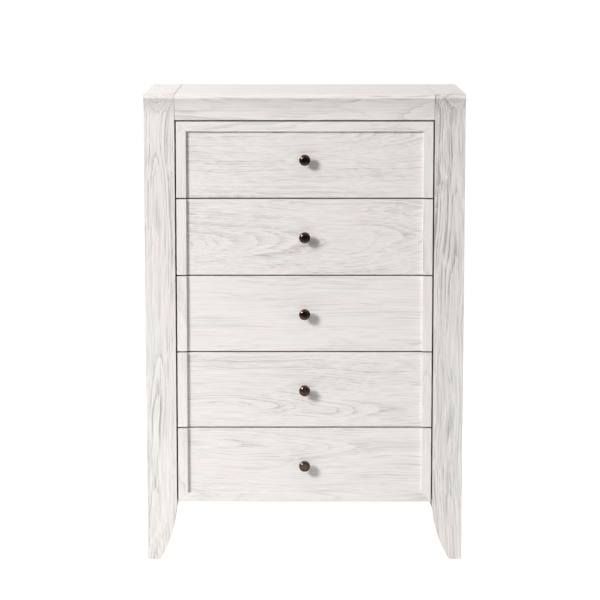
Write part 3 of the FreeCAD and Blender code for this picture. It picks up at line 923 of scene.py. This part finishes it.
# Low pan heads with a cross recess, on shanks that point away from the facing.
def makeScrews():
    inputs = {
        "Points": (geometrySocket,),
        "Head Radius": (floatSocket, 0.004),
        "Head Height": (floatSocket, 0.0024),
        "Shank Radius": (floatSocket, 0.0018),
        "Shank Length": (floatSocket, 0.016),
        "Material": (materialSocket,),
    }
    outputs = {"Screws": (geometrySocket,)}
    tree, given, result = newGroup("crossHeadScrews", "GeometryNodeTree", inputs, outputs)
    height, radius = given["Head Height"], given["Head Radius"]
    head = addNode(tree, "GeometryNodeMeshCone", {"Vertices": 24, "Radius Bottom": radius, "Depth": height})
    plug(tree, head.inputs["Radius Top"], calc(tree, "MULTIPLY", radius, screwHead["topRadius"]))
    shares = (("X", radius, "armLength"), ("Y", radius, "armWidth"), ("Z", height, "armDepth"))
    sizes = {axis: calc(tree, "MULTIPLY", whole, screwHead[share]) for axis, whole, share in shares}
    arm = addNode(tree, "ShaderNodeCombineXYZ", sizes).outputs[0]
    sunk = addNode(tree, "ShaderNodeCombineXYZ", {"Z": height}).outputs[0]
    slots = addNode(tree, "GeometryNodeJoinGeometry")
    for quarter in (0, math.radians(90)):
        bar = addNode(tree, "GeometryNodeMeshCube", {"Size": arm})
        placed = addNode(tree, "GeometryNodeTransform", {"Geometry": bar.outputs[0], "Translation": sunk})
        placed.inputs["Rotation"].default_value = (0, 0, quarter)
        tree.links.new(placed.outputs[0], slots.inputs[0])
    cut = addNode(tree, "GeometryNodeMeshBoolean", {0: head.outputs[0]}, operation="DIFFERENCE")
    cut.solver = "EXACT"
    tree.links.new(slots.outputs[0], cut.inputs[1])
    length = given["Shank Length"]
    shank = addNode(tree, "GeometryNodeMeshCylinder", {"Vertices": 16, "Depth": length})
    plug(tree, shank.inputs["Radius"], given["Shank Radius"])
    below = addNode(tree, "ShaderNodeCombineXYZ", {"Z": calc(tree, "MULTIPLY", length, -0.5)}).outputs[0]
    driven = addNode(tree, "GeometryNodeTransform", {"Geometry": shank.outputs[0], "Translation": below})
    whole = addNode(tree, "GeometryNodeJoinGeometry")
    tree.links.new(cut.outputs[0], whole.inputs[0])
    tree.links.new(driven.outputs[0], whole.inputs[0])
    placed = placeOnPoints(tree, given["Points"], whole.outputs[0], False)
    madeReal(tree, placed, given["Material"], result["Screws"])
    return tree


nailLook = {
    "inset": 0.012,
    "spacing": 0.105,
    "sink": 0.0004,
    "headRadius": 0.0028,
    "headHeight": 0.0008,
    "topRadius": 0.55,   # as a share of the head's radius
}


# Small domed nails along the edge of the back panel.
def makeNailBorder():
    inputs = {
        "Points": (geometrySocket,),
        "Width": (floatSocket, 0.6),
        "Height": (floatSocket, 1.0),
        "Spacing": (floatSocket, 0.11),
        "Head Radius": (floatSocket, 0.003),
        "Head Height": (floatSocket, 0.001),
        "Material": (materialSocket,),
    }
    tree, given, result = newGroup("nailBorder", "GeometryNodeTree", inputs, {"Nails": (geometrySocket,)})
    border = addNode(tree, "GeometryNodeCurvePrimitiveQuadrilateral")
    plug(tree, border.inputs["Width"], given["Width"])
    plug(tree, border.inputs["Height"], given["Height"])
    standing = addNode(tree, "GeometryNodeTransform", {"Geometry": border.outputs[0]})
    standing.inputs["Rotation"].default_value = (math.radians(90), 0, 0)
    places = addNode(tree, "GeometryNodeResampleCurve", {"Curve": standing.outputs[0]}, mode="LENGTH")
    plug(tree, places.inputs["Length"], given["Spacing"])
    head = addNode(tree, "GeometryNodeMeshCone", {"Vertices": 12, "Depth": given["Head Height"]})
    plug(tree, head.inputs["Radius Bottom"], given["Head Radius"])
    top = calc(tree, "MULTIPLY", given["Head Radius"], nailLook["topRadius"])
    plug(tree, head.inputs["Radius Top"], top)
    lying = addNode(tree, "GeometryNodeTransform", {"Geometry": head.outputs[0]})
    lying.inputs["Rotation"].default_value = (math.radians(-90), 0, 0)
    placed = setOn(tree, places.outputs[0], lying.outputs[0])
    onPanel = setOn(tree, given["Points"], placed.outputs[0])
    madeReal(tree, onPanel, given["Material"], result["Nails"])
    return tree


ballRows, crossHeadScrews, nailBorder = makeBallRows(), makeScrews(), makeNailBorder()


# Two rows of balls run in the rear of the outer channels and two in the front of the middle ones.
ballLook = {"radius": 0.00085, "pitch": 0.006, "balls": 22, "innerStart": 0.022, "outerStart": 0.19}


def levelOf(corners):
    return (corners[0].z + corners[1].z) / 2


def ballBearings(number):
    body = f"drawer_{number}"
    middles = boxesOfParts(f"{body}_middle_members")
    sameLevel = 0.0005
    outers = [
        corners
        for corners in boxesOfParts("case_slide_members")
        if abs(levelOf(corners) - levelOf(middles[0])) < sameLevel
    ]
    inners = boxesOfParts(f"{body}_slide_members")
    starts = []
    for middle, outer, inner in zip(middles, outers, inners):
        x = (middle[0].x + middle[1].x) / 2
        level = levelOf(middle)
        between = ((middle[1].z - level) + (outer[1].z - level) - slideLook["wall"]) / 2
        within = ((middle[1].z - level) - slideLook["wall"] + (inner[1].z - level)) / 2
        for side in (-1, 1):
            starts.append((x, middle[0].y + ballLook["outerStart"], level + side * between))
            starts.append((x, middle[0].y + ballLook["innerStart"], level + side * within))
    values = {
        "Ball Radius": ballLook["radius"],
        "Pitch": ballLook["pitch"],
        "Balls": ballLook["balls"],
        "Material": screwSteel,
    }
    name = f"drawer{number}Balls"
    grownPiece(name, ballRows, starts, values, f"{body}_runners", "screw_steel", screwSteel)


caseScrewSize = {"headRadius": 0.0034, "headHeight": 0.0008, "shankRadius": 0.0017}
frontScrewSize = {"headRadius": 0.004, "headHeight": 0.0024, "shankRadius": 0.0018}


# Screws stand where the CAD's do: each part's box gives the line and the end that holds the head.
# A drawer's screws face the back of the chest, and the slides' screws face its middle.
def screwPiece(name, node, body, axis, size):
    points, facings, lengths = [], [], []
    for low, high in boxesOfParts(node):
        middle = (low + high) / 2
        facing = Vector((0, 0, 0))
        facing[axis] = 1 if axis == axisNumber["y"] else -math.copysign(1, middle[axis])
        headFace = high[axis] if facing[axis] > 0 else low[axis]
        seat = middle.copy()
        seat[axis] = headFace - facing[axis] * size["headHeight"]
        points.append(seat)
        facings.append(facing)
        lengths.append(high[axis] - low[axis] - size["headHeight"])
    values = {
        "Head Radius": size["headRadius"],
        "Head Height": size["headHeight"],
        "Shank Radius": size["shankRadius"],
        "Shank Length": min(lengths),
        "Material": screwSteel,
    }
    grownPiece(name, crossHeadScrews, points, values, body, "screw_steel", screwSteel, node, facings)


for number in drawerNumbers:
    ballBearings(number)
    body = f"drawer_{number}"
    screwPiece(f"drawer{number}Screws", f"{body}_screws", body, axisNumber["y"], frontScrewSize)
screwPiece("caseSlideScrews", "case_slide_screws", "case", axisNumber["x"], caseScrewSize)


def backNails():
    low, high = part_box("back_panel")
    middle = (low + high) / 2
    inset = nailLook["inset"]
    rearLegs = [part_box(f"{side}_rear_leg") for side in ("left", "right")]
    width = rearLegs[1][0].x - rearLegs[0][1].x
    values = {
        "Width": width + inset,
        "Height": high.z - low.z - 2 * inset,
        "Spacing": nailLook["spacing"],
        "Head Radius": nailLook["headRadius"],
        "Head Height": nailLook["headHeight"],
        "Material": screwSteel,
    }
    points = [(middle.x, high.y - nailLook["sink"], middle.z)]
    grownPiece("backPanelNails", nailBorder, points, values, "case", "screw_steel", screwSteel)


backNails()

glideTurning = {"segments": 32, "steps": 3}

# Turned outline of a glide: a disc with a soft edge, and its pin.
glideProfile = [
    ((0.0, 0.0), (0.003, 0.0), (0.006, 0.0), (0.0096, 0.0)),
    ((0.0096, 0.0), (0.0105, 0.0), (0.011, 0.0004), (0.011, 0.0010)),
    ((0.011, 0.0010), (0.011, 0.0014), (0.011, 0.0017), (0.011, 0.0020)),
    ((0.011, 0.0020), (0.008, 0.0020), (0.005, 0.0020), (0.002, 0.0020)),
    ((0.002, 0.0020), (0.002, 0.006), (0.002, 0.011), (0.0019, 0.0150)),
    ((0.0019, 0.0150), (0.0016, 0.0158), (0.0008, 0.016), (0.0, 0.016)),
]


def floorGlides():
    parts = []
    for low, high in boxesOfParts("floor_glides"):
        part = turned(glideProfile, **glideTurning)
        place = Vector(((low.x + high.x) / 2, (low.y + high.y) / 2, low.z))
        bmesh.ops.translate(part, verts=part.verts, vec=place)
        parts.append(part)
    piece = linked("floorGlides", gathered("floorGlides", parts))
    finished(piece, "case", "nylon", whiteNylon, "floor_glides")


floorGlides()
print("fixings made")


studio = {
    "floorHalf": 30.0,
    "floorAlbedo": (0.74, 0.74, 0.74, 1),
    "farAlbedo": (0.05, 0.05, 0.05, 1),
    "floorFade": (1.2, 3.2),
    "floorGlow": 0.86,
    "skyLow": 0.05,
    "skyHigh": 0.60,
    "skyTop": 0.9,   # how far up the sky is brightest
}

# Azimuth runs clockwise from the front, seen from above; angles in degrees, the rest in metres and watts.
lamps = {
    "key": {"azimuth": 48, "elevation": 27, "distance": 7.0, "size": 1.9, "power": 478},
    "back": {"azimuth": 150, "elevation": 40, "distance": 4.5, "size": 2.0, "power": 75},
    "side": {"azimuth": -100, "elevation": 12, "distance": 4.5, "size": 2.4, "power": 68},
}


def makeFloor():
    half = studio["floorHalf"]
    mesh = bpy.data.meshes.new("floor")
    corners = [(-half, -half, 0), (half, -half, 0), (half, half, 0), (-half, half, 0)]
    mesh.from_pydata(corners, [], [(0, 1, 2, 3)])
    floor = linked("floor", mesh)
    material, tree, shader = newMaterial("paleFloor", Roughness=0.9, **{"Specular IOR Level": 0.1})
    place = addNode(tree, "ShaderNodeTexCoord").outputs["Object"]
    distance = addNode(tree, "ShaderNodeVectorMath", {0: place}, operation="LENGTH").outputs["Value"]
    far = step(tree, distance, *studio["floorFade"])
    plug(tree, shader["Base Color"], blendColor(tree, far, studio["floorAlbedo"], studio["farAlbedo"]))
    shader["Emission Color"].default_value = (1, 1, 1, 1)
    seen = addNode(tree, "ShaderNodeLightPath").outputs["Is Camera Ray"]
    glow = calc(tree, "MULTIPLY_ADD", far, 1 - studio["floorGlow"], studio["floorGlow"])
    plug(tree, shader["Emission Strength"], calc(tree, "MULTIPLY", seen, glow))
    mesh.materials.append(material)


def aimedLight(name, azimuth, elevation, distance, size, power):
    lamp = bpy.data.lights.new(name, "AREA")
    lamp.shape = "DISK"
    lamp.size = size
    lamp.energy = power
    light = linked(name, lamp)
    a, e = math.radians(azimuth), math.radians(elevation)
    towards = Vector((-math.sin(a) * math.cos(e), -math.cos(a) * math.cos(e), math.sin(e)))
    light.location = (cadLow + cadHigh) / 2 + towards * distance
    light.rotation_euler = towards.to_track_quat("Z", "Y").to_euler()


def makeSky():
    world = bpy.data.worlds.new("paleStudio")
    bpy.context.scene.world = world
    world.use_nodes = True
    tree = world.node_tree
    background = tree.nodes["Background"]
    background.inputs["Color"].default_value = (1, 1, 1, 1)
    seen = addNode(tree, "ShaderNodeLightPath").outputs["Is Camera Ray"]
    direction = addNode(tree, "ShaderNodeTexCoord").outputs["Generated"]
    height = addNode(tree, "ShaderNodeSeparateXYZ", {0: direction}).outputs["Z"]
    sky = addNode(tree, "ShaderNodeMapRange", {"Value": height, "From Max": studio["skyTop"]})
    sky.inputs["To Min"].default_value = studio["skyLow"]
    sky.inputs["To Max"].default_value = studio["skyHigh"]
    plug(tree, background.inputs["Strength"], calc(tree, "MAXIMUM", seen, sky.outputs[0]))


makeFloor()
makeSky()
for name, lamp in lamps.items():
    aimedLight(f"{name}Light", **lamp)

cameraSet = {
    "lens": 147.66,
    "sensor": 36,
    "sideways": -0.0118,
    "distance": 6.2,
    "height": 1.576,
    "pitch": 8.21,
}


def makeCamera():
    data = bpy.data.cameras.new("camera")
    data.lens = cameraSet["lens"]
    data.sensor_width = cameraSet["sensor"]
    camera = linked("camera", data)
    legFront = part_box("left_front_leg")[0].y
    camera.location = (cameraSet["sideways"], legFront - cameraSet["distance"], cameraSet["height"])
    camera.rotation_euler = (math.radians(90 - cameraSet["pitch"]), 0, 0)
    bpy.context.scene.camera = camera


makeCamera()
bpy.context.scene.view_settings.view_transform = "Standard"
print("studio made")
